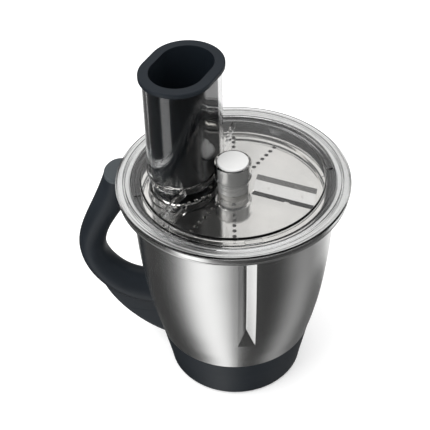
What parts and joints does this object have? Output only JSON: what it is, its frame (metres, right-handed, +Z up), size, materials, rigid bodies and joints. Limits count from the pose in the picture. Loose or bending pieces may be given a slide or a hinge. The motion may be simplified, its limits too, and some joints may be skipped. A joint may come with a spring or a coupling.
{
  "type": "food processor bowl",
  "caption": "Food-processor bowl with a steel shell, side handle, clear lid with feed chute and pusher, and a turning slicing and grating disc on a lift-out stem.",
  "frame": {"origin": "on the drive axis, in the plane the bowl stands on, at the mouth of the drive socket", "axes": "+Z up along the drive axis; -Y is the front; the handle points to -X, turned 10 degrees towards +Y"},
  "size_m": [0.2523, 0.209, 0.325],
  "materials": {
    "brushed_bowl": "satin brushed",
    "polished_steel": "polished",
    "steel_part": "turned",
    "screw_steel": "plated",
    "spacer_aluminium": "turned",
    "dark_plastic": "satin",
    "grey_plastic": "satin",
    "white_plastic": "gloss",
    "clear_plastic": "clear polished",
    "seal_rubber": "matte",
    "foot_rubber": "matte"
  },
  "bodies": {
    "bowl": {"bowl_shell": "brushed_bowl", "handle_grip": "dark_plastic", "thumb_rest": "grey_plastic", "handle_strap": "steel_part", "handle_screws": "screw_steel", "base_skirt": "dark_plastic", "base_plate": "dark_plastic", "base_screws": "screw_steel", "foot_ring": "foot_rubber", "bearing_housing": "grey_plastic", "housing_gasket": "seal_rubber", "housing_nut": "dark_plastic", "lower_bearing": "steel_part", "upper_bearing": "steel_part", "bearing_spacer": "spacer_aluminium", "shaft_seal": "seal_rubber"},
    "rotor": {"drive_shaft": "steel_part", "drive_coupling": "dark_plastic", "coupling_pin": "steel_part", "retaining_ring": "steel_part"},
    "disc_carrier": {"disc_stem": "white_plastic", "stem_cap": "white_plastic", "disc_hub": "white_plastic", "slicing_disc": "polished_steel", "slicing_blade": "polished_steel", "blade_rivets": "polished_steel"},
    "lid": {"lid_cover": "clear_plastic", "lid_gasket": "seal_rubber", "feed_chute": "clear_plastic"},
    "pusher": {"pusher_body": "dark_plastic", "pusher_foot": "dark_plastic"}
  },
  "joints": [
    {"name": "drive_spin", "type": "hinge", "parent": "bowl", "child": "rotor", "pos_m": [0, 0, 0.05], "axis": [0, 0, 1], "continuous": true},
    {"name": "lid_lift", "type": "slide", "parent": "bowl", "child": "lid", "axis": [0, 0, 1], "range_m": [0, 0.26]},
    {"name": "stem_lift", "type": "slide", "parent": "rotor", "child": "disc_carrier", "axis": [0, 0, 1], "range_m": [0, 0.19]},
    {"name": "pusher_slide", "type": "slide", "parent": "lid", "child": "pusher", "axis": [0, 0, 1], "range_m": [0, 0.1]}
  ],
  "couplings": [
    {"joint": "stem_lift", "follows": "lid_lift", "ratio": 0.71}
  ]
}
